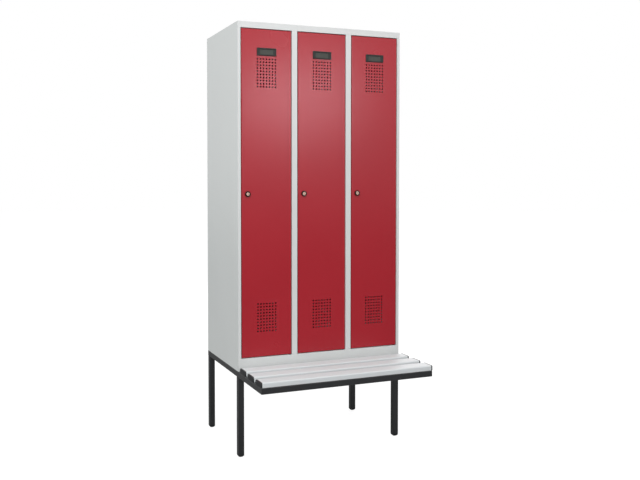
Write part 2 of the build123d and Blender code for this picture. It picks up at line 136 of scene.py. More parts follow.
class Shade:
    """The nodes of one material or of the world, made one at a time."""

    def __init__(self, owner: bpy.types.Material | bpy.types.World) -> None:
        """Empty the owner's node tree but for its output.

        Args:
            owner: the material or the world.
        """
        self.owner = owner
        owner.use_nodes = True
        self.tree = owner.node_tree
        self.tree.nodes.clear()
        kind = "Material" if isinstance(owner, bpy.types.Material) else "World"
        self.end = self.tree.nodes.new("ShaderNodeOutput" + kind)

    @classmethod
    def of(cls, name: str) -> "Shade":
        """The nodes of a new material."""
        return cls(bpy.data.materials.new(name))

    def node(
        self,
        kind: str,
        settings: dict[str, object] | None = None,
        sockets: dict[int | str, object] | None = None,
        result: int | str = 0,
    ) -> Wire:
        """Add a node, set it up and join its sockets.

        Args:
            kind: the node's type without its ShaderNode start.
            settings: the node's own settings, set first.
            sockets: a number, a colour or a wire for each input that is used.
            result: the output that the wire is taken from.

        Returns:
            A wire from that output.
        """
        made = self.tree.nodes.new("ShaderNode" + kind)
        for name, value in (settings or {}).items():
            setattr(made, name, value)
        for key, value in (sockets or {}).items():
            if isinstance(value, Wire):
                self.tree.links.new(value.socket, made.inputs[key])
            else:
                made.inputs[key].default_value = value
        return Wire(self, made.outputs[result])

    def place(self, stretch: Triple = (1.0, 1.0, 1.0)) -> Wire:
        """The point on the piece in the part's own frame, stretched along each axis."""
        spot = self.node("TexCoord", result="Object")
        return self.node("Mapping", {}, {"Vector": spot, "Scale": stretch})

    def noise(self, spot: Wire, cell: float, detail: int) -> Wire:
        """Cloudy value, mostly between 0.3 and 0.7.

        Args:
            spot: the place that the pattern is read at.
            cell: the blots' width in metres.
            detail: how many finer layers are added.

        Returns:
            The value.
        """
        return self.node("TexNoise", {}, {"Vector": spot, "Scale": 1 / cell, "Detail": detail})

    def mix(self, share: Wire, first: Triple | Wire, second: Triple | Wire) -> Wire:
        """Blend of two colours: the first where the share is 0, the second where it is 1."""
        first, second = (c if isinstance(c, Wire) else (*c, 1.0) for c in (first, second))
        return self.node("Mix", {"data_type": "RGBA"}, {0: share, 6: first, 7: second}, 2)

    def bump(self, height: Wire, depth: float) -> Wire:
        """Surface direction tilted by a height pattern whose 1 stands a depth in metres high."""
        return self.node("Bump", {}, {"Distance": depth, "Height": height})

    def close(self, last: Wire) -> None:
        """Join the last node to the output."""
        self.tree.links.new(last.socket, self.end.inputs["Surface"])

    def surface(self, sockets: dict[str, object]) -> bpy.types.Material:
        """Close the material with a Principled surface.

        Args:
            sockets: the surface's values and wires by name.

        Returns:
            The finished material.
        """
        self.close(self.node("BsdfPrincipled", {}, sockets))
        return self.owner


# Finishes


@dataclass(frozen=True)
class PowderCoat:
    """Baked paint on steel: an even colour with a pebbled skin that thins over folds and edges.

    The attribute worn is 1 on a fold and 0 on a flat, and a piece without it counts as flat. The
    colour drifts by a few percent in clouds and specks, and a fold is up to 1.15 times lighter.
    """

    name: str
    colour: Triple
    roughness: float
    pebble: float = 1.6 * MM
    pebble_depth: float = 0.06 * MM
    drift: float = 0.05
    wear: float = 0.35
    specular: float = 0.5
    cloud: float = 350 * MM
    cloud_marks: Pair = (0.3, 0.7)
    speck: float = 1.1 * MM
    speck_marks: Pair = (0.62, 0.8)
    speck_share: float = 0.6
    wave: float = 12 * MM
    wave_share: float = 0.2
    gloss_drift: float = 0.08
    fold_polish: float = 0.06
    thin_factor: float = 1.15
    thin_lift: float = 0.012

    def material(self) -> bpy.types.Material:
        """Make the paint.

        Returns:
            The material.
        """
        shade = Shade.of(self.name)
        spot = shade.place()
        clouds = shade.noise(spot, self.cloud, detail=3)
        specks = shade.noise(spot, self.speck, detail=1)
        pebbles = shade.noise(spot, self.pebble, detail=2)
        waves = shade.noise(spot, self.wave, detail=1)
        worn = shade.node("Attribute", {"attribute_name": "worn"}, result="Fac")
        darker = toned(self.colour, 1 - self.drift)
        lighter = toned(self.colour, 1 + self.drift)
        thin = toned(self.colour, self.thin_factor, self.thin_lift)
        cloudy = shade.mix(clouds.held(*self.cloud_marks), darker, self.colour)
        sprinkled = specks.held(*self.speck_marks) * self.speck_share
        speckled = shade.mix(sprinkled, cloudy, lighter)
        smoothest = self.roughness - self.gloss_drift / 2
        skin = pebbles * (1 - self.wave_share) + waves * self.wave_share
        return shade.surface(
            {
                "Base Color": shade.mix(worn * self.wear, speckled, thin),
                "Roughness": smoothest + clouds * self.gloss_drift - worn * self.fold_polish,
                "Specular IOR Level": self.specular,
                "Normal": shade.bump(skin, self.pebble_depth),
            }
        )


@dataclass(frozen=True)
class ExtrudedPlastic:
    """Hollow plastic profile with drawn lines along the bench, soft clouds and a few scuffs."""

    name: str
    colour: Triple
    roughness: float = 0.55
    specular: float = 0.2
    line: float = 1.2 * MM
    line_stretch: Triple = (0.005, 1.0, 1.0)
    line_depth: float = 0.06 * MM
    line_marks: Pair = (0.35, 0.65)
    line_share: float = 0.4
    cloud: float = 200 * MM
    cloud_share: float = 0.3
    drawn_factor: float = 0.93
    scuff: float = 8 * MM
    scuff_stretch: Triple = (1.0, 0.12, 1.0)
    scuff_marks: Pair = (0.66, 0.8)
    scuff_share: float = 0.35
    scuff_factor: float = 0.9
    rub_marks: Pair = (0.55, 0.8)
    rub_roughness: float = 0.15

    def material(self) -> bpy.types.Material:
        """Make the plastic: noise stretched 200 times along X gives the drawn lines.

        Returns:
            The material.
        """
        shade = Shade.of(self.name)
        lines = shade.noise(shade.place(self.line_stretch), self.line, detail=3)
        clouds = shade.noise(shade.place(), self.cloud, detail=2)
        scuffs = shade.noise(shade.place(self.scuff_stretch), self.scuff, detail=3)
        drawn = lines.held(*self.line_marks) * self.line_share + clouds * self.cloud_share
        colour = shade.mix(drawn, self.colour, toned(self.colour, self.drawn_factor))
        scraped = scuffs.held(*self.scuff_marks) * self.scuff_share
        rubbed = scuffs.held(*self.rub_marks) * self.rub_roughness
        return shade.surface(
            {
                "Base Color": shade.mix(scraped, colour, toned(self.colour, self.scuff_factor)),
                "Roughness": self.roughness + rubbed,
                "Specular IOR Level": self.specular,
                "Normal": shade.bump(lines, self.line_depth),
            }
        )


@dataclass(frozen=True)
class MouldedPlastic:
    """Moulded plastic or rubber with a fine grain, and dust that greys it in soft patches."""

    name: str
    colour: Triple
    roughness: float
    specular: float = 0.4
    grain: float = 0.8 * MM
    grain_depth: float = 0.04 * MM
    dust: float = 20 * MM
    dust_marks: Pair = (0.45, 0.75)
    dust_factor: float = 0.85
    dust_lift: float = 0.02
    dust_roughness: float = 0.1

    def material(self) -> bpy.types.Material:
        """Make the plastic.

        Returns:
            The material.
        """
        shade = Shade.of(self.name)
        spot = shade.place()
        grain = shade.noise(spot, self.grain, detail=3)
        dust = shade.noise(spot, self.dust, detail=4)
        dusty = toned(self.colour, self.dust_factor, self.dust_lift)
        return shade.surface(
            {
                "Base Color": shade.mix(dust.held(*self.dust_marks), self.colour, dusty),
                "Roughness": self.roughness + dust * self.dust_roughness,
                "Specular IOR Level": self.specular,
                "Normal": shade.bump(grain, self.grain_depth),
            }
        )


@dataclass(frozen=True)
class BareSteel:
    """Zinc-plated or chromed steel: drawn lines along one axis, and soft clouds in the plating."""

    name: str
    colour: Triple
    roughness: float
    stretch: Triple = (1.0, 1.0, 1.0)
    line: float = 0.6 * MM
    line_depth: float = 0.02 * MM
    cloud: float = 30 * MM
    cloud_marks: Pair = (0.35, 0.7)
    cloud_factor: float = 0.82
    gloss_drift: float = 0.1

    def material(self) -> bpy.types.Material:
        """Make the metal.

        Returns:
            The material.
        """
        shade = Shade.of(self.name)
        lines = shade.noise(shade.place(self.stretch), self.line, detail=3)
        clouds = shade.noise(shade.place(), self.cloud, detail=3)
        darker = toned(self.colour, self.cloud_factor)
        smoothest = self.roughness - self.gloss_drift / 2
        return shade.surface(
            {
                "Base Color": shade.mix(clouds.held(*self.cloud_marks), self.colour, darker),
                "Metallic": 1.0,
                "Roughness": smoothest + lines * self.gloss_drift,
                "Normal": shade.bump(lines, self.line_depth),
            }
        )


class Finish(Enum):
    """The locker's finishes, by what they are put on."""

    FRAME = PowderCoat("frame_coat", srgb(20, 23, 26), 0.33, 1.2 * MM, drift=0.08, specular=0.8)
    GREY = PowderCoat("grey_coat", srgb(208, 212, 211), 0.4, drift=0.02, wear=0.3)
    RED = PowderCoat("red_coat", srgb(163, 26, 39), 0.26)
    SLAT = ExtrudedPlastic("slat_extrusion", srgb(206, 212, 213))
    BLACK = MouldedPlastic("cap_moulding", srgb(29, 31, 33), 0.48, 0.3)
    LABEL = MouldedPlastic("label_moulding", srgb(38, 41, 39), 0.5, 0.3, 0.6 * MM)
    CARD = MouldedPlastic("card_sheet", srgb(68, 71, 66), 0.55, 0.3, 1.5 * MM, 0.02 * MM)
    RUBBER = MouldedPlastic("rubber_moulding", srgb(38, 38, 39), 0.7)
    STEEL = BareSteel("zinc_steel", srgb(196, 198, 202), 0.34, (0.02, 1.0, 1.0))
    CHROME = BareSteel("chrome_plating", srgb(224, 198, 180), 0.28)
    DARK = PowderCoat(
        "lock_dark", srgb(36, 23, 19), 0.45, 1.0 * MM, 0.02 * MM, wear=0.5, specular=0.15
    )

    def made(self) -> bpy.types.Material:
        """The finish's material, made once and shared."""
        known = bpy.data.materials.get(self.value.name)
        return known or self.value.material()


# Surfaces worked out as arrays


@dataclass
class Shell:
    """Points and faces of a surface, and how far each point lies on a fold."""

    points: np.ndarray
    faces: list[tuple[int, ...]]
    worn: np.ndarray | None = None

    def __post_init__(self) -> None:
        """Count every point as flat where nothing else is said."""
        if self.worn is None:
            self.worn = np.zeros(len(self.points))

    def __add__(self, other: "Shell") -> "Shell":
        """Both surfaces as one, with the other's points counted on from these.

        Args:
            other: the surface that is added.

        Returns:
            The joined surface.
        """
        start = len(self.points)
        counted_on = [tuple(corner + start for corner in face) for face in other.faces]
        points = np.vstack([self.points, other.points])
        return Shell(points, self.faces + counted_on, np.concatenate([self.worn, other.worn]))

    def moved(self, shift: Triple) -> "Shell":
        """The same surface at another place."""
        return Shell(self.points + np.array(shift), self.faces, self.worn)

    def laid(self, origin: Triple, first: Triple, second: Triple, third: Triple) -> "Shell":
        """The surface set into the frame, each point's numbers running along three directions.

        Args:
            origin: where the local origin goes.
            first: the direction of the first number.
            second: the direction of the second number.
            third: the direction of the third number.

        Returns:
            The surface in its new place.
        """
        points = np.array(origin) + self.points @ np.array([first, second, third], float)
        return Shell(points, self.faces, self.worn)


def grid_faces(rows: int, columns: int, around: bool) -> list[tuple[int, ...]]:
    """Quads of a grid: quad (i, j) takes points j and j + 1 of row i, then of row i + 1.

    Args:
        rows: how many rows of points there are.
        columns: how many points a row has.
        around: whether a row's last point joins its first.

    Returns:
        The quads' point numbers.
    """
    steps = np.arange(columns if around else columns - 1)
    i, j = np.meshgrid(np.arange(rows - 1), steps, indexing="ij")
    k = (j + 1) % columns
    near, far = i * columns, (i + 1) * columns
    quads = np.stack([near + j, near + k, far + k, far + j], -1)
    return list(map(tuple, quads.reshape(-1, 4).tolist()))


def capped(rings: np.ndarray, worn: np.ndarray | None = None) -> Shell:
    """Surface over a row of rings, with a flat face over the first ring and over the last.

    Args:
        rings: the points, as ring, point and axis.
        worn: the points' fold shares, where they aren't all 0.

    Returns:
        The closed surface.
    """
    rows, count = rings.shape[:2]
    faces = grid_faces(rows, count, True)
    faces.append(tuple(range(count - 1, -1, -1)))
    faces.append(tuple(range((rows - 1) * count, rows * count)))
    return Shell(rings.reshape(-1, 3), faces, worn)


def unit_circle(count: int, start: float = 0.0) -> np.ndarray:
    """Points (cos a, sin a) at equal steps round a unit circle, from a start angle on."""
    angles = start + np.arange(count) * 2 * math.pi / count
    return np.stack([np.cos(angles), np.sin(angles)], 1)


def rounded_rectangle(width: float, height: float, radii: Pair, steps: int) -> np.ndarray:
    """Outline of a rectangle with quarter-circle corners and a support point beside each quarter.

    A corner's point at angle a is its centre plus radius times (cos a, sin a). The support point
    lies on the flat, a third of a radius away, and keeps the flat's shading flat.

    Args:
        width: size along the first axis.
        height: size along the second axis.
        radii: radius of the two lower corners and of the two upper ones.
        steps: flats in each quarter circle.

    Returns:
        Points and fold shares, three numbers to a line, anticlockwise.
    """
    lines = []
    for quarter, (side, end) in enumerate(CORNERS):
        radius = radii[1] if end > 0 else radii[0]
        angles = (quarter + np.linspace(0, 1, steps + 1)) * math.pi / 2
        centre = np.array([side * (width / 2 - radius), end * (height / 2 - radius)])
        arc = centre + radius * np.stack([np.cos(angles), np.sin(angles)], 1)
        lead = np.array([-np.sin(angles[0]), np.cos(angles[0])]) * radius / 3
        tail = np.array([-np.sin(angles[-1]), np.cos(angles[-1])]) * radius / 3
        worn = np.sin(np.linspace(0, math.pi, steps + 1))
        points = np.vstack([arc[0] - lead, arc, arc[-1] + tail])
        lines.append(np.column_stack([points, np.concatenate([[0], worn, [0]])]))
    return np.vstack(lines)


def carried(outline: np.ndarray, origins: np.ndarray, across: np.ndarray, up: np.ndarray) -> Shell:
    """Closed outline carried along a path: point = origin + a times across + b times up.

    Args:
        outline: the outline's (a, b) and fold share, three numbers to a line.
        origins: the path's stations.
        across: the direction of a at each station, whose length scales it.
        up: the direction of b at each station, whose length scales it.

    Returns:
        The surface with a flat face over each end.
    """
    a, b = outline[None, :, 0:1], outline[None, :, 1:2]
    rings = origins[:, None, :] + a * across[:, None, :] + b * up[:, None, :]
    return capped(rings, np.tile(outline[:, 2], len(origins)))


def bar_in_box(low: Vector, high: Vector, section: np.ndarray) -> Shell:
    """Straight bar along X through a box, its section centred in the box's Y and Z.

    Args:
        low: the box's low corner.
        high: the box's high corner.
        section: the bar's outline.

    Returns:
        The bar's surface.
    """
    middle = np.array((low + high) / 2)
    origins = np.array([[low.x, middle[1], middle[2]], [high.x, middle[1], middle[2]]])
    return carried(section, origins, np.array([[0, 1.0, 0]] * 2), np.array([[0, 0, 1.0]] * 2))


def bent_path(corners: list[Pair], radius: float, steps: int = 5) -> tuple[np.ndarray, np.ndarray]:
    """Flat path with its corners bent on a radius.

    At a corner the path leaves its run one setback before it, the radius times the tangent of half
    the turn, and follows the circle that touches both runs.

    Args:
        corners: the path's corner points.
        radius: the bends' radius on the path.
        steps: flats in each bend.

    Returns:
        The path's points and its direction at each.
    """
    given = np.array(corners, float)
    runs = np.diff(given, axis=0)
    runs /= np.linalg.norm(runs, axis=1)[:, None]
    points, ways = [given[0]], [runs[0]]
    for corner, before, after in zip(given[1:-1], runs[:-1], runs[1:]):
        turn = math.atan2(before[0] * after[1] - before[1] * after[0], float(before @ after))
        start = corner - before * radius * math.tan(abs(turn) / 2)
        side = np.array([-before[1], before[0]]) * math.copysign(1, turn)
        angles = np.linspace(0, abs(turn), steps + 1)[:, None]
        points.extend(start + radius * (np.sin(angles) * before + (1 - np.cos(angles)) * side))
        ways.extend(np.cos(angles) * before + np.sin(angles) * side)
    points.append(given[-1])
    ways.append(runs[-1])
    return np.array(points), np.array(ways)


def bent_strip(corners: list[Pair], radius: float, width: float, thickness: float) -> Shell:
    """Flat strip bent along a path in the first two axes, with its width along the third.

    The strip's section is a thin rectangle with rounded edges, carried square to the path.

    Args:
        corners: corner points of the strip's middle line.
        radius: bend radius of the middle line.
        width: the strip's width.
        thickness: the strip's thickness.

    Returns:
        The closed strip.
    """
    points, ways = bent_path(corners, radius)
    edge = thickness * 0.35
    section = rounded_rectangle(thickness, width, (edge, edge), steps=2)
    flat = np.zeros(len(points))
    across = np.column_stack([-ways[:, 1], ways[:, 0], flat])
    up = np.tile([0.0, 0.0, 1.0], (len(points), 1))
    return carried(section, np.column_stack([points, flat]), across, up)


def turned(profile: list[Pair] | np.ndarray, count: int) -> Shell:
    """Profile turned round the third axis: point = (r cos a, r sin a, h).

    Args:
        profile: radius and height from one end to the other.
        count: points in each ring.

    Returns:
        The surface with a flat face over its first ring and its last.
    """
    radius, height = np.array(profile, float).T[:, :, None]
    rings = radius[:, :, None] * unit_circle(count)
    return capped(np.dstack([rings, np.repeat(height, count, 1)]))


def ring_stack(
    size: Pair,
    corner: float,
    levels: list[Triple],
    lines: tuple[np.ndarray, np.ndarray] | None = None,
    steps: int = 4,
) -> np.ndarray:
    """Rings of one rounded rectangle, each set in from the first and pushed to its own depth.

    A ring's corner is a quarter circle of the corner radius less the inset, round the same centre.
    Where the inset is more, the corner is sharp and the ring's points are held to its sides.

    Args:
        size: outer width and height.
        corner: outer corner radius.
        levels: inset, depth and fold share of each ring.
        lines: places of points along the width and the height, from corner to corner.
        steps: flats in each corner.

    Returns:
        One ring to a row, each point as (across, depth, up, fold share).
    """
    half = np.array(size) / 2
    across, up = lines or (np.array([corner - reach, reach - corner]) for reach in half)
    angles = np.linspace(0, math.pi / 2, steps + 1)
    runs = (up, across[::-1], up[::-1], across)
    rings = []
    for inset, depth, worn in levels:
        radius = max(corner - inset, 0.0)
        parts = []
        for quarter, (along, side) in enumerate(zip(runs, np.array(CORNERS))):
            turn = angles + quarter * math.pi / 2
            arc = side * (half - corner) + radius * np.stack([np.cos(turn), np.sin(turn)], 1)
            flat = np.tile(side * (half - corner + radius), (len(along) - 2, 1))
            flat[:, 1 - quarter % 2] = along[1:-1]
            parts.extend([flat, arc])
        ring = np.clip(np.vstack(parts), inset - half, half - inset)
        depths, shares = np.full(len(ring), depth), np.full(len(ring), worn)
        rings.append(np.column_stack([ring[:, 0], depths, ring[:, 1], shares]))
    return np.array(rings)


def closed_ring(rings: np.ndarray) -> Shell:
    """Surface over a stack of rings whose last joins the first, as a frame or a washer has.

    Args:
        rings: the rings, as ring_stack gives them.

    Returns:
        The closed surface.
    """
    points = rings.reshape(-1, 4)
    faces = grid_faces(len(rings) + 1, rings.shape[1], True)
    looped = [tuple(corner % len(points) for corner in face) for face in faces]
    return Shell(points[:, :3], looped, points[:, 3])


class Piece:
    """Makes objects from surfaces and sets them on the part."""

    smooth_angle: float = math.radians(32)
    fold_angle: float = math.radians(35)
    flat_angle: float = math.radians(0.5)
    bend_width: float = 3 * MM
    surface_merge: float = 0.001 * MM
    node_merge: float = 0.01 * MM

    @staticmethod
    def linked(name: str, data: bpy.types.ID) -> bpy.types.Object:
        """A new object in the scene.

        Args:
            name: the object's name.
            data: its mesh, light or camera.

        Returns:
            The object.
        """
        obj = bpy.data.objects.new(name, data)
        bpy.context.scene.collection.objects.link(obj)
        return obj

    @staticmethod
    def new(
        name: str, shell: Shell, finish: Finish, body: str, *nodes: str, sheet: float = 0.0
    ) -> bpy.types.Object:
        """Make a surface a piece of the locker.

        Args:
            name: the piece's name.
            shell: its surface, in the part's frame.
            finish: its finish.
            body: the body that it rides on.
            nodes: the nodes that it stands for.
            sheet: the wall's thickness where the surface is an open sheet.

        Returns:
            The finished object.
        """
        mesh = bpy.data.meshes.new(name)
        mesh.from_pydata(shell.points.tolist(), [], shell.faces)
        worn = mesh.attributes.new("worn", "FLOAT", "POINT")
        worn.data.foreach_set("value", shell.worn.astype(np.float32))
        tidy = bmesh.new()
        tidy.from_mesh(mesh)
        bmesh.ops.remove_doubles(tidy, verts=tidy.verts, dist=Piece.surface_merge)
        bmesh.ops.recalc_face_normals(tidy, faces=tidy.faces)
        if sheet:
            # An open sheet has no inside, so its foremost face says which way is out
            tidy.faces.ensure_lookup_table()
            front = min(tidy.faces, key=lambda face: face.calc_center_median().y)
            if front.normal.y > 0:
                bmesh.ops.reverse_faces(tidy, faces=tidy.faces)
        tidy.to_mesh(mesh)
        tidy.free()
        obj = Piece.linked(name, mesh)
        if sheet:
            wall = obj.modifiers.new("wall", "SOLIDIFY")
            wall.thickness = sheet
            wall.offset = -1.0
            wall.use_even_offset = True
        return Piece.set_on(obj, finish, body, nodes)

    @staticmethod
    def set_on(
        obj: bpy.types.Object, finish: Finish, body: str, nodes: tuple[str, ...]
    ) -> bpy.types.Object:
        """Give a piece its finish and its body, and hide the nodes that it stands for.

        Args:
            obj: the piece.
            finish: its finish.
            body: the body that it rides on.
            nodes: the nodes that it stands for.

        Returns:
            The same piece.
        """
        mesh = obj.data
        mesh.materials.clear()
        mesh.materials.append(finish.made())
        mesh.shade_smooth()
        mesh.set_sharp_from_angle(angle=Piece.smooth_angle)
        Piece.sharpen_rims(mesh)
        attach(obj, body)
        if nodes:
            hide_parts(*nodes)
        log.info("%s: %d faces, %s, on %s", obj.name, len(mesh.polygons), finish.value.name, body)
        return obj

    @staticmethod
    def sharpen_rims(mesh: bpy.types.Mesh) -> None:
        """Mark every edge with a single face as sharp, so that a sheet's rims stay crisp.

        Args:
            mesh: the piece's mesh.
        """
        uses = np.zeros(len(mesh.loops), np.int32)
        mesh.loops.foreach_get("edge_index", uses)
        rims = np.bincount(uses, minlength=len(mesh.edges)) == 1
        if rims.any():
            known = mesh.attributes.get("sharp_edge")
            sharp = known or mesh.attributes.new("sharp_edge", "BOOLEAN", "EDGE")
            marks = np.zeros(len(mesh.edges), bool)
            sharp.data.foreach_get("value", marks)
            sharp.data.foreach_set("value", marks | rims)

    @staticmethod
    def softened(
        node: str, finish: Finish, body: str, fold: float, rim: float
    ) -> bpy.types.Object:
        """Stand a copy of a node in its place, with wide bends rounded more than cut edges.

        A convex edge is a bend where both of its faces are wider than three sheet thicknesses. A
        face's width is twice its area over the length of its outline, which also holds for the
        thin ring round a tray's rim.

        Args:
            node: the node's name.
            finish: the copy's finish.
            body: the body that the copy rides on.
            fold: rounding of the bends.
            rim: rounding of the cut edges.

        Returns:
            The copy.
        """
        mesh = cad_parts[node].data.copy()
        mesh.name = node + "_folds"
        tidy = bmesh.new()
        tidy.from_mesh(mesh)
        bmesh.ops.remove_doubles(tidy, verts=tidy.verts, dist=Piece.node_merge)
        bmesh.ops.dissolve_limit(
            tidy, angle_limit=Piece.flat_angle, verts=tidy.verts, edges=tidy.edges
        )
        tidy.faces.index_update()
        widths = [2 * face.calc_area() / face.calc_perimeter() for face in tidy.faces]
        weights = tidy.edges.layers.float.new("bevel_weight_edge")
        for edge in tidy.edges:
            if len(edge.link_faces) == 2 and edge.calc_face_angle(0.0) >= Piece.fold_angle:
                width = min(widths[face.index] for face in edge.link_faces)
                bend = width > Piece.bend_width and edge.is_convex
                edge[weights] = 1.0 if bend else rim / fold
        tidy.to_mesh(mesh)
        tidy.free()
        obj = Piece.linked(node + "_folds", mesh)
        rounding = obj.modifiers.new("folds", "BEVEL")
        rounding.limit_method = "WEIGHT"
        rounding.width = fold
        rounding.segments = 2
        rounding.harden_normals = True
        rounding.use_clamp_overlap = True
        return Piece.set_on(obj, finish, body, (node,))


# Sub-assemblies


@dataclass
class BaseFrame:
    """Welded square-tube base with its foot glides."""

    corner: float = 3.0 * MM
    bead_width: float = 4.5 * MM
    bead_proud: float = 1.2 * MM
    bead_step: float = 1.2 * MM
    bead_ripple: float = 0.12
    bead_ripple_run: float = 1.1 * MM
    bead_taper: float = 3 * MM
    bead_end_share: float = 0.25
    bead_sides: int = 8
    glide_rounding: float = 12 * MM
    glide_corner: float = 2.5 * MM
    glide_corner_growth: float = 0.7
    glide_points: int = 48
    glide_start: float = 1.42
    groove_drops: tuple[float, ...] = (1.2 * MM, 0.7 * MM, 0.7 * MM, 0.0)
    groove_insets: tuple[float, ...] = (0.0, 0.1 * MM, 0.9 * MM, 0.9 * MM)

    def tube(self, node: str, axis: int, shears: Pair = (0.0, 0.0)) -> Shell:
        """Rounded tube in a node's box, cut at a slant where it meets its neighbour.

        A slanted end runs along the tube by its shear times the distance across, so a shear of 1 or
        -1 is a mitre.

        Args:
            node: the node whose box the tube fills.
            axis: the tube's direction, 0 for X, 1 for Y and 2 for Z.
            shears: the slant of the low and of the high end.

        Returns:
            The tube's surface.
        """
        low, high = (np.array(corner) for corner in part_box(node))
        size = high - low
        way = np.eye(3)[axis]
        across = np.eye(3)[0 if axis else 1]
        up = np.eye(3)[1 if axis == 2 else 2]
        width = float(size @ across)
        radii = (self.corner, self.corner)
        section = rounded_rectangle(width, float(size @ up), radii, steps=5)
        middle = (low + high) / 2
        ends = []
        for corner, shear, turn in ((low, shears[0], 1), (high, shears[1], -1)):
            inset = turn * abs(shear) * width / 2
            ends.append(middle * (1 - way) + way * (corner + inset))
        across_ways = np.array([across + way * shear for shear in shears])
        return carried(section, np.array(ends), across_ways, np.array([up, up]))

    def bead(self, corners: list[Triple]) -> Shell:
        """Painted weld bead along straight runs: a round section whose radius ripples.

        Radius = half the width times (1 + ripple times sin(distance over the ripple's run)), which
        tapers to a quarter at both ends.

        Args:
            corners: the bead's corner points.

        Returns:
            The bead's surface.
        """
        given = np.array(corners, float)
        runs = np.linalg.norm(np.diff(given, axis=0), axis=1)
        lengths = np.concatenate([[0], np.cumsum(runs)])
        distance = np.linspace(0, lengths[-1], int(lengths[-1] / self.bead_step))
        path = np.stack([np.interp(distance, lengths, given[:, i]) for i in range(3)], 1)
        ways = np.gradient(path, axis=0)
        ways /= np.linalg.norm(ways, axis=1)[:, None]
        sides = np.cross(ways, [0, 0, 1.0])
        ripple = self.bead_ripple * np.sin(distance / self.bead_ripple_run)
        radius = self.bead_width / 2 * (1 + ripple)
        to_end = np.minimum(distance, lengths[-1] - distance)
        radius *= np.clip(to_end / self.bead_taper, self.bead_end_share, 1)
        outline = np.column_stack([unit_circle(self.bead_sides), np.ones(self.bead_sides)])
        up = np.tile([0, 0, 1.0], (len(path), 1))
        return carried(outline, path, sides * radius[:, None], up * radius[:, None])

    def leg_beads(self, leg: str) -> Shell:
        """Bead under the rail round the three inner sides of a leg's top.

        Args:
            leg: the leg's node.

        Returns:
            The bead's surface.
        """
        low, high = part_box(leg)
        sink = self.bead_width / 2 - self.bead_proud
        inner_x = low.x + sink if low.x > 0 else high.x - sink
        outer_x = high.x - self.corner if low.x > 0 else low.x + self.corner
        front, back = low.y + sink, high.y - sink
        ends = ((outer_x, front), (inner_x, front), (inner_x, back), (outer_x, back))
        return self.bead([(x, y, high.z) for x, y in ends])

    def glide(self, node: str) -> Shell:
        """Foot glide under a leg: square rings that draw in towards the floor.

        At height h a ring is set in by the rounding less the root of (rounding squared less
        (rounding - h) squared), and its corner radius grows with that inset. Four more rings make
        the groove under the tube. A ring's points start on a circle round its square and are drawn
        to the square's sides.

        Args:
            node: the leg's node.

        Returns:
            The glide's surface.
        """
        low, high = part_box(node)
        middle = (low + high) / 2
        rounding = self.glide_rounding
        heights = rounding * (1 - np.cos(np.linspace(0, math.pi / 2, 10)))
        insets = rounding - np.sqrt(np.clip(rounding**2 - (rounding - heights) ** 2, 0, None))
        heights = np.concatenate([heights, low.z - np.array(self.groove_drops)])
        insets = np.concatenate([insets, self.groove_insets])[:, None, None]
        reach = (high.x - low.x) / 2 - insets
        corner = np.minimum(reach, self.glide_corner + self.glide_corner_growth * insets)
        circle = unit_circle(self.glide_points) * reach * self.glide_start
        core = np.clip(circle, corner - reach, reach - corner)
        offset = circle - core
        distance = np.maximum(np.linalg.norm(offset, axis=2, keepdims=True), 1e-9)
        rings = core + offset / distance * corner + np.array([middle.x, middle.y])
        levels = np.repeat(heights[:, None], self.glide_points, 1)
        return capped(np.dstack([rings, levels]))

    def build(self) -> None:
        """Make the rails, cross tubes, legs, weld beads and glides."""
        tubes = {
            "left_side_rail": (1, (1.0, -1.0)),
            "right_side_rail": (1, (-1.0, 1.0)),
            "bench_front_tube": (0, (1.0, -1.0)),
            "rear_cross_tube": (0, (-1.0, 1.0)),
            "front_cross_tube": (0, (0.0, 0.0)),
            "bench_middle_bearer": (1, (0.0, 0.0)),
        }
        shells = {node: self.tube(node, axis, shears) for node, (axis, shears) in tubes.items()}
        legs = [f"{end}_{side}_leg" for end in ("front", "rear") for side in ("left", "right")]
        shells |= {leg: self.tube(leg, 2) + self.leg_beads(leg) for leg in legs}
        for node, shell in shells.items():
            Piece.new(node + "_coated", shell, Finish.FRAME, "cabinet", node)
        glides = reduce(add, (self.glide(leg) for leg in legs))
        Piece.new("foot_glides_moulded", glides, Finish.BLACK, "cabinet", "foot_glides")


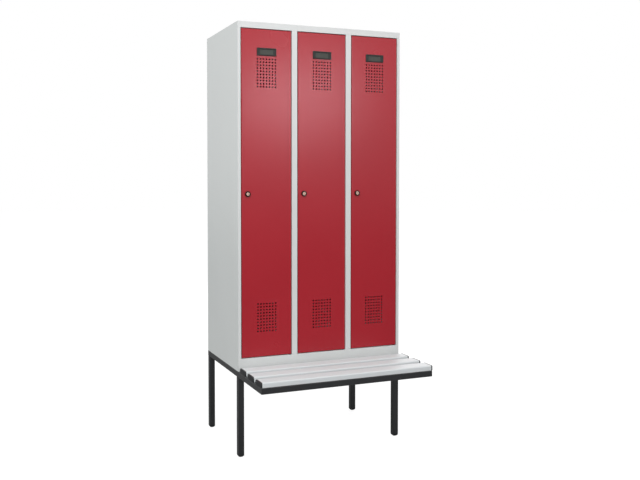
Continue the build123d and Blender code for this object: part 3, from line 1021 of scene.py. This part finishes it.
@dataclass
class Bench:
    """Three hollow plastic slats with their end caps."""

    upper_rounding: float = 6.5 * MM
    lower_rounding: float = 2.0 * MM
    cap_thickness: float = 7 * MM
    cap_edge: float = 1.2 * MM

    def section(self, low: Vector, high: Vector) -> np.ndarray:
        """Outline of a slat that fills a box across X."""
        radii = (self.lower_rounding, self.upper_rounding)
        return rounded_rectangle(high.y - low.y, high.z - low.z, radii, steps=7)

    def cap(self, low: Vector, high: Vector, side: int) -> Shell:
        """End cap: the slat's section drawn in on a quarter circle at its outer edge.

        Station t of the edge lies edge times sin t further out, with the section smaller by edge
        times (1 - cos t).

        Args:
            low: the slat's low corner.
            high: the slat's high corner.
            side: -1 for the left end, 1 for the right.

        Returns:
            The cap's surface.
        """
        middle = np.array((low + high) / 2)
        turn = np.linspace(0, math.pi / 2, 6)
        edge = self.cap_edge
        reach = np.concatenate([[0], self.cap_thickness - edge + edge * np.sin(turn)])
        shrink = np.concatenate([[0], edge * (1 - np.cos(turn))])
        start = high.x if side > 0 else low.x
        flat = np.ones(len(reach))
        origins = np.stack([start + side * reach, flat * middle[1], flat * middle[2]], 1)
        across = np.outer(1 - 2 * shrink / (high.y - low.y), [0, 1.0, 0])
        up = np.outer(1 - 2 * shrink / (high.z - low.z), [0, 0, 1.0])
        return carried(self.section(low, high), origins, across, up)

    def build(self) -> None:
        """Make the slats and all their caps."""
        caps = []
        for name in ("front", "middle", "rear"):
            node = name + "_slat"
            low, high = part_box(node)
            slat = bar_in_box(low, high, self.section(low, high))
            Piece.new(node + "_profile", slat, Finish.SLAT, "cabinet", node)
            caps += [self.cap(low, high, side) for side in (-1, 1)]
        moulded = reduce(add, caps)
        Piece.new("slat_end_caps_moulded", moulded, Finish.BLACK, "cabinet", "slat_end_caps")


@dataclass
class Cabinet:
    """Folded sheet walls, roof, floor, partitions and back."""

    fold: float = 1.5 * MM
    rim: float = 0.3 * MM
    rivet_radius: float = 3.2 * MM
    rivet_height: float = 0.8 * MM
    rivet_root: float = 0.4 * MM
    rivet_tip: float = 0.05 * MM
    rivet_count: int = 7
    rivet_margin: float = 60 * MM
    rivet_shift: float = 4 * MM

    def rivets(self) -> Shell:
        """Domed rivet heads down the back panel where the partitions' lips lie behind it.

        Height over a head = rivet height times the root of 1 less the squared share of its radius.

        Returns:
            All the heads.
        """
        low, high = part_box("back_panel")
        radius, height = self.rivet_radius, self.rivet_height
        shares = np.linspace(1, 0, 7)[:-1]
        dome = [(radius * share, height * math.sqrt(1 - share**2)) for share in shares]
        head = turned([(radius, -self.rivet_root), *dome, (self.rivet_tip, height)], count=20)
        ends = (low.z + self.rivet_margin, high.z - self.rivet_margin)
        places = np.linspace(*ends, self.rivet_count)
        heads = []
        for node in ("left_partition", "right_partition"):
            lip_low, lip_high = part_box(node)
            x = (lip_low.x + lip_high.x) / 2 + self.rivet_shift
            heads += [head.laid((x, high.y, z), (1, 0, 0), (0, 0, 1), (0, 1, 0)) for z in places]
        return reduce(add, heads)

    def build(self) -> None:
        """Soften the folds of every sheet and add the rivets."""
        for node in (
            "left_side_panel",
            "right_side_panel",
            "left_partition",
            "right_partition",
            "back_panel",
            "top_panel",
            "bottom_panel",
        ):
            Piece.softened(node, Finish.GREY, "cabinet", self.fold, self.rim)
        Piece.new("back_rivets", self.rivets(), Finish.STEEL, "cabinet")


@dataclass
class Fittings:
    """Hat shelves, clothes rails, hooks, bushes and buffers inside the cabinet."""

    hook_bend: float = 3 * MM
    hook_thickness: float = 2 * MM
    hook_width: float = 16 * MM
    hook_plate: float = 50 * MM
    hook_reach: float = 30 * MM
    hook_tip: float = 16 * MM
    screw_radius: float = 4 * MM
    screw_height: float = 2 * MM
    screw_shares: tuple[Pair, ...] = ((1.0, -0.25), (1.0, 0.4), (0.75, 0.85), (0.2, 1.0))
    screw_drops: Pair = (10 * MM, 32 * MM)
    wall_gap: float = 0.3 * MM
    rail_corner_share: float = 0.37

    def hook(self) -> Shell:
        """Coat hook: a bent strip on the wall, and two pan-head screws through its plate.

        A head's profile is its shares times the screw's radius and height.

        Returns:
            The hook, with out of the wall, up and along the wall as its three numbers.
        """
        half = self.hook_thickness / 2
        tip = self.hook_reach - half
        floor = half - self.hook_plate
        corners = [(half, 0.0), (half, floor), (tip, floor), (tip, self.hook_tip - self.hook_plate)]
        strip = bent_strip(corners, self.hook_bend, self.hook_width, self.hook_thickness)
        scale = np.array([self.screw_radius, self.screw_height])
        head = turned(scale * self.screw_shares, count=24)
        places = [(self.hook_thickness, -drop, 0) for drop in self.screw_drops]
        return reduce(add, (head.laid(p, (0, 1, 0), (0, 0, 1), (1, 0, 0)) for p in places), strip)

    def hooks(self) -> Shell:
        """All nine hooks, one on each side wall and one on the rear wall of each compartment.

        Returns:
            The hooks' surface.
        """
        _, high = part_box("coat_hooks")
        hook = self.hook()
        placed = []
        for bay in BAYS:
            shelf_low, shelf_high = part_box(f"{bay}_hat_shelf")
            middle = (shelf_low + shelf_high) / 2
            walls = (
                ((shelf_low.x - self.wall_gap, middle.y, high.z), (1, 0, 0), (0, 1, 0)),
                ((shelf_high.x + self.wall_gap, middle.y, high.z), (-1, 0, 0), (0, 1, 0)),
                ((middle.x, high.y, high.z), (0, -1, 0), (1, 0, 0)),
            )
            placed += [hook.laid(place, out, (0, 0, 1), side) for place, out, side in walls]
        return reduce(add, placed)

    def rail(self, node: str) -> Shell:
        """Clothes rail: a flat oval tube along X in a node's box.

        Args:
            node: the rail's node.

        Returns:
            The rail's surface.
        """
        low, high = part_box(node)
        width = high.y - low.y
        corner = width * self.rail_corner_share
        section = rounded_rectangle(width, high.z - low.z, (corner, corner), steps=7)
        return bar_in_box(low, high, section)

    def build(self) -> None:
        """Make the fittings of the three compartments."""
        for bay in BAYS:
            shelf, rail = f"{bay}_hat_shelf", f"{bay}_clothes_rail"
            Piece.softened(shelf, Finish.GREY, "cabinet", fold=1.2 * MM, rim=0.3 * MM)
            Piece.new(rail + "_oval", self.rail(rail), Finish.STEEL, "cabinet", rail)
        Piece.new("coat_hooks_bent", self.hooks(), Finish.STEEL, "cabinet", "coat_hooks")
        Piece.softened("hinge_bushes", Finish.BLACK, "cabinet", fold=0.5 * MM, rim=0.3 * MM)
        Piece.softened("door_buffers", Finish.RUBBER, "cabinet", fold=0.5 * MM, rim=0.3 * MM)


@dataclass
class Door:
    """Folded door with its vents, label holder, lock, pins, stiffener and towel rail."""

    bay: str
    fold: float = 1.3 * MM
    sheet: float = 1.0 * MM
    hem: float = 10 * MM
    edge_support: float = 1.5 * MM
    vent_columns: int = 7
    vent_rows: int = 10
    vent_pitch_across: float = 15.7 * MM
    vent_pitch_up: float = 15.0 * MM
    vent_radius: float = 4.2 * MM
    upper_vents_drop: float = 211 * MM
    lower_vents_rise: float = 192.5 * MM
    lock_inset: float = 31 * MM
    lock_rise: float = 802 * MM
    lock_hole: float = 9.2 * MM
    lock_cell: float = 14 * MM
    hole_points: int = 12
    label_corner: float = 3.0 * MM
    label_edge: tuple[Triple, ...] = (
        (0.0, 1.8 * MM, 0.3),
        (0.35 * MM, 1.0 * MM, 1.0),
        (1.5 * MM, 0.0, 0.3),
    )
    window: Pair = (73 * MM, 25.5 * MM)
    window_bevel: float = 0.8 * MM
    strip_thickness: float = 2.0 * MM
    strip_foot: float = 12 * MM
    strip_bend: float = 3 * MM

    def __post_init__(self) -> None:
        """Read where the door stands, and name its body."""
        self.low, self.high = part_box(f"{self.bay}_door")
        self.size = (self.high.x - self.low.x, self.high.z - self.low.z)
        self.depth = self.high.y - self.low.y
        self.middle = (self.low + self.high) / 2
        self.body = f"{self.bay}_door"

    def holes(self) -> tuple[np.ndarray, np.ndarray, np.ndarray]:
        """Grid lines of the skin and the middle of each cell that has a hole.

        Returns:
            The lines along the width, the lines along the height, and the holes as
            (across, up, radius).
        """
        half = np.array(self.size) / 2
        edge = half - self.fold
        support = edge - self.edge_support
        fields = (half[1] - self.upper_vents_drop, self.lower_vents_rise - half[1])
        columns = np.arange(self.vent_columns + 1) - self.vent_columns / 2
        rows = np.arange(self.vent_rows + 1) - self.vent_rows / 2
        columns, rows = columns * self.vent_pitch_across, rows * self.vent_pitch_up
        lock = np.array([self.lock_inset - half[0], self.lock_rise - half[1]])
        cell = np.array([-1, 1]) * self.lock_cell
        ends = np.stack([-edge, edge, -support, support])
        across = np.concatenate([columns, lock[0] + cell, ends[:, 0]])
        up = np.concatenate([*(rows + centre for centre in fields), lock[1] + cell, ends[:, 1]])
        mid_columns = (columns[:-1] + columns[1:]) / 2
        mid_rows = np.concatenate([(rows[:-1] + rows[1:]) / 2 + centre for centre in fields])
        grid = np.stack(np.meshgrid(mid_columns, mid_rows), -1).reshape(-1, 2)
        vents = np.column_stack([grid, np.full(len(grid), self.vent_radius)])
        return np.sort(across), np.sort(up), np.vstack([vents, [*lock, self.lock_hole]])

    def skin(self) -> Shell:
        """Front skin: a grid of flat cells, of which those with a hole have four faces round it.

        Point k of a hole = middle + radius times (cos, sin) of (45 + 30 k) degrees for 12 points,
        so that every third of them faces a corner of its cell.

        Returns:
            The skin, with across and up as its first and third numbers and a depth of 0.
        """
        across, up, holes = self.holes()
        columns = len(across)
        x, z = np.meshgrid(across, up)
        grid = np.stack([x.ravel(), z.ravel()], 1)
        column = np.searchsorted(across, holes[:, 0]) - 1
        row = np.searchsorted(up, holes[:, 1]) - 1
        cells = list(zip(row.tolist(), column.tolist()))
        open_cells = {r * (columns - 1) + c for r, c in cells}
        quads = enumerate(grid_faces(len(up), columns, False))
        faces = [quad for number, quad in quads if number not in open_cells]
        count, quarter = self.hole_points, self.hole_points // 4
        circle = unit_circle(count, math.pi / 4)
        round_holes = (holes[:, None, :2] + holes[:, None, 2:] * circle).reshape(-1, 2)
        for number, (r, c) in enumerate(cells):
            low = r * columns + c
            corners = (low + columns + 1, low + columns, low, low + 1)
            ring = len(grid) + count * number
            for side in range(4):
                arc = [ring + (quarter * side + k) % count for k in range(quarter + 1)]
                faces.append((corners[side], *arc, corners[(side + 1) % 4]))
        places = np.vstack([grid, round_holes])
        depths = np.zeros(len(places))
        return Shell(np.stack([places[:, 0], depths, places[:, 1]], 1), faces)

    def pan(self) -> Shell:
        """The skin and what folds back from it: a quarter circle, the return, another and the hem.

        Returns:
            The door's surface, as an open sheet.
        """
        turn = np.linspace(0, math.pi / 2, 5)
        r, depth = self.fold, self.depth
        out, back, share = r * (1 - np.sin(turn)), r * (1 - np.cos(turn)), np.sin(2 * turn)
        levels = [*zip(out, back, share), *zip(back, depth - out, share), (self.hem, depth, 0.0)]
        across, up, _ = self.holes()
        rings = ring_stack(self.size, r, levels, (across, up))
        points = rings.reshape(-1, 4)
        folded = Shell(points[:, :3], grid_faces(*rings.shape[:2], True), points[:, 3])
        return (self.skin() + folded).moved((self.middle.x, self.low.y, self.middle.z))

    def label_frame(self) -> Shell:
        """Label holder: rings that climb the bevel, cross the face and drop into the window.

        Returns:
            The holder's surface.
        """
        low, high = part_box(f"{self.bay}_label_frame")
        size = (high.x - low.x, high.z - low.z)
        depth = high.y - low.y
        across_border, border = (np.array(size) - self.window) / 2
        # The edge's rings give their inset, their drop below the face and their fold share
        levels = [(0.0, 0.0, 0.0)]
        levels += [(inset, drop - depth, worn) for inset, drop, worn in self.label_edge]
        # The window's rings are drawn in further across than up
        window = [
            (border - self.window_bevel, -depth, 0.5),
            (border, self.window_bevel - depth, 0.5),
            (border, 0.0, 0.5),
        ]
        rings = ring_stack(size, self.label_corner, levels + window)
        half = np.array(size) / 2
        for ring, (inset, _, _) in zip(rings[len(levels) :], window):
            drawn_in = half - inset * np.array([across_border / border, 1.0])
            ring[:, [0, 2]] *= drawn_in / (half - inset)
        middle = (low + high) / 2
        return closed_ring(rings).moved((middle.x, high.y, middle.z))

    def towel_rail(self) -> Shell:
        """Towel rail: a strip bent from foot to foot, carried flat at one height.

        Returns:
            The rail's surface.
        """
        low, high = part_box(f"{self.bay}_towel_rail")
        half = self.strip_thickness / 2
        near, far = low.y + half, high.y - half
        left, right = low.x + self.strip_foot + half, high.x - self.strip_foot - half
        feet = [(low.x, near), (left, near)], [(right, near), (high.x, near)]
        corners = [*feet[0], (left, far), (right, far), *feet[1]]
        strip = bent_strip(corners, self.strip_bend, high.z - low.z, self.strip_thickness)
        return strip.moved((0, 0, (low.z + high.z) / 2))

    def build(self) -> None:
        """Make the door and everything that swings with it."""
        bay, body, lock = self.bay, self.body, f"{self.bay}_lock"
        Piece.new(f"{bay}_door_pan", self.pan(), Finish.RED, body, f"{bay}_door", sheet=self.sheet)
        Piece.softened(f"{bay}_door_stiffener", Finish.GREY, body, fold=1.0 * MM, rim=0.3 * MM)
        rail, label = f"{bay}_towel_rail", f"{bay}_label_frame"
        Piece.new(rail + "_bent", self.towel_rail(), Finish.STEEL, body, rail)
        Piece.new(label + "_moulded", self.label_frame(), Finish.LABEL, body, label)
        Piece.softened(f"{bay}_label_card", Finish.CARD, body, fold=0.3 * MM, rim=0.2 * MM)
        Piece.softened(f"{bay}_hinge_pins", Finish.STEEL, body, fold=0.6 * MM, rim=0.4 * MM)
        Piece.softened(f"{bay}_lock_housing", Finish.DARK, body, fold=0.9 * MM, rim=0.4 * MM)
        Piece.softened(f"{bay}_lock_plug", Finish.CHROME, lock, fold=0.5 * MM, rim=0.25 * MM)
        Piece.softened(f"{bay}_lock_cam", Finish.STEEL, lock, fold=0.5 * MM, rim=0.4 * MM)


@dataclass(frozen=True)
class Lamp:
    """Soft rectangular lamp: its place, the point that it faces, its size, watts and tint."""

    name: str
    place: Triple
    target: Triple
    size: Pair
    power: float
    tint: Triple = (1.0, 1.0, 1.0)

    def hang(self) -> None:
        """Put the lamp into the scene, turned to the point that it faces."""
        data = bpy.data.lights.new(self.name, "AREA")
        data.shape = "RECTANGLE"
        data.size, data.size_y = self.size
        data.energy = self.power
        data.color = self.tint
        hung = Piece.linked(self.name, data)
        hung.location = self.place
        way = Vector(self.target) - Vector(self.place)
        hung.rotation_euler = way.to_track_quat("-Z", "Y").to_euler()


@dataclass
class Studio:
    """Pale floor, soft lamps and the camera of the photograph."""

    eye: Triple = (-1.650, -3.483, 1.362)
    yaw: float = 19.98
    pitch: float = 1.74
    roll: float = 0.14
    lens: float = 41.68
    shift: Pair = (0.1187, -0.05852)
    clip: Pair = (0.05, 100.0)
    ambient: float = 0.5
    gloss_share: float = 0.7
    floor_glow: float = 0.865
    floor_grey: float = 0.28
    floor_radius: float = 30.0
    floor_thickness: float = 0.02
    lamps: tuple[Lamp, ...] = (
        Lamp("front_lamp", (-2.6, -4.6, 2.8), (0.0, 0.0, 1.3), (2.4, 2.4), 125.0),
        Lamp(
            "sheen_lamp", (2.0, -5.0, 2.38), (0.0, 0.0, 1.5), (1.15, 0.55), 24.0, (1.0, 0.79, 0.86)
        ),
        Lamp("top_lamp", (-0.6, -1.4, 4.8), (0.0, 0.0, 1.2), (3.0, 3.0), 84.0),
        Lamp("left_lamp", (-4.5, 0.8, 1.95), (0.0, 0.0, 1.1), (2.5, 2.0), 46.0),
        Lamp("back_lamp", (3.4, 4.6, 2.6), (0.0, 0.3, 1.2), (2.4, 2.0), 85.0),
    )

    def camera(self) -> None:
        """Camera turned to +X by the yaw, down by the pitch and a trace clockwise by the roll."""
        data = bpy.data.cameras.new("camera")
        data.lens = self.lens
        data.shift_x, data.shift_y = self.shift
        data.clip_start, data.clip_end = self.clip
        camera = Piece.linked("camera", data)
        camera.location = self.eye
        turns = (90 - self.pitch, self.roll, -self.yaw)
        camera.rotation_euler = tuple(math.radians(turn) for turn in turns)
        bpy.context.scene.camera = camera

    def floor(self) -> None:
        """Large disc that glows white for the camera alone, so that only shadows darken it."""
        shade = Shade.of("studio_floor")
        paint = shade.node("BsdfDiffuse", {}, {"Color": (*[self.floor_grey] * 3, 1.0)})
        ray = shade.node("LightPath", result="Is Camera Ray")
        sockets = {"Color": (1, 1, 1, 1), "Strength": ray * self.floor_glow}
        glow = shade.node("Emission", {}, sockets)
        shade.close(shade.node("AddShader", {}, {0: paint, 1: glow}))
        radius = self.floor_radius
        disc = turned([(radius, -self.floor_thickness), (radius, 0.0)], count=96)
        mesh = bpy.data.meshes.new("studio_floor")
        mesh.from_pydata(disc.points.tolist(), [], disc.faces)
        mesh.materials.append(shade.owner)
        floor = Piece.linked("studio_floor", mesh)

    def world(self) -> None:
        """White backdrop for the camera, nearly white for gloss, softer for everything else."""
        world = bpy.data.worlds.new("studio")
        bpy.context.scene.world = world
        shade = Shade(world)
        camera = shade.node("LightPath", result="Is Camera Ray")
        gloss = shade.node("LightPath", result="Is Glossy Ray")
        strength = self.ambient + (1 - self.ambient) * (camera + gloss * self.gloss_share)
        sockets = {"Color": (1, 1, 1, 1), "Strength": strength}
        shade.close(shade.node("Background", {}, sockets))

    def build(self) -> None:
        """Set up the view settings, the backdrop, the floor, the lamps and the camera."""
        bpy.context.scene.view_settings.view_transform = "Standard"
        self.world()
        self.floor()
        for lamp in self.lamps:
            lamp.hang()
        self.camera()


def main() -> None:
    """Build the locker's looks and set the stage."""
    logging.basicConfig(level=logging.INFO, format="%(message)s")
    BaseFrame().build()
    Bench().build()
    Cabinet().build()
    Fittings().build()
    for bay in BAYS:
        Door(bay).build()
    Studio().build()


if __name__ == "__main__":
    main()
